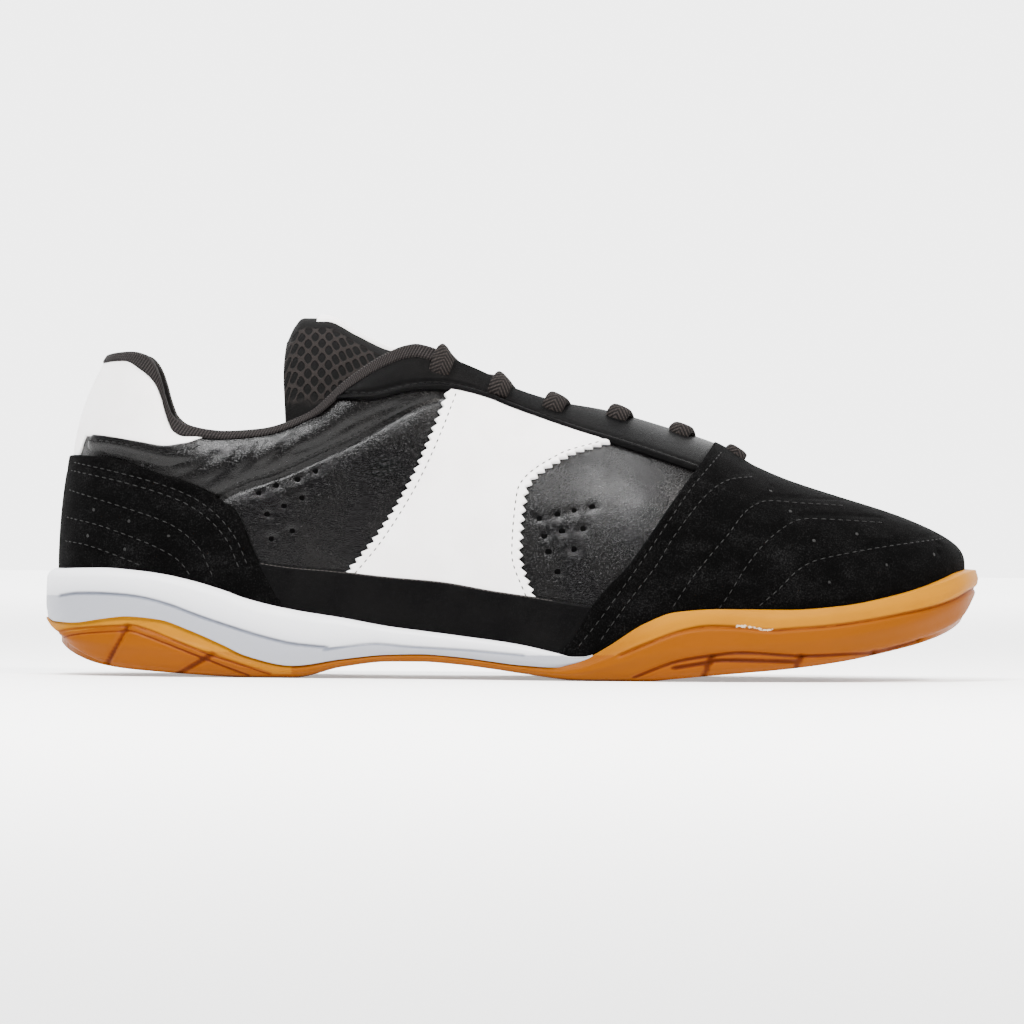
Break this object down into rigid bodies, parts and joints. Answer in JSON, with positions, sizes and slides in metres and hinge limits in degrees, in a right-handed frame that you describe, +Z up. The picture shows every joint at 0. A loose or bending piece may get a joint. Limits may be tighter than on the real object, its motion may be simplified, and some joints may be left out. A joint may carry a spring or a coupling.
{
  "type": "indoor soccer shoe",
  "caption": "Low-cut lace-up indoor soccer shoe for the right foot: black leather and suede upper, white foam midsole, gum rubber outsole, plain white side saddle",
  "frame": {"origin": "on the floor plane, under the middle of the sole's outline", "axes": "+X points to the toe, -Y to the lateral (outer) side, +Z up"},
  "size_m": [0.2848, 0.098, 0.1085],
  "materials": {
    "gum_rubber": "moulded gum rubber, satin",
    "white_foam": "moulded foam with a smooth skin",
    "insole_cloth": "brushed cloth over foam",
    "black_leather": "smooth satin leather, fine grain",
    "black_suede": "suede with a short nap",
    "white_leather": "smooth coated leather",
    "collar_tape": "woven tape",
    "tongue_mesh": "padded spacer mesh"
  },
  "bodies": {
    "root": {"outsole": "gum_rubber", "midsole": "white_foam", "insole": "insole_cloth", "upper": "black_leather", "toe_cap": "black_suede", "heel_counter": "black_suede", "side_band_lateral": "black_suede", "side_band_medial": "black_suede", "eyestay_lateral": "black_leather", "eyestay_medial": "black_leather", "heel_tab": "white_leather", "saddle_lateral": "white_leather", "saddle_medial": "white_leather", "collar_binding": "collar_tape", "tongue": "tongue_mesh", "laces": "collar_tape"}
  },
  "joints": []
}
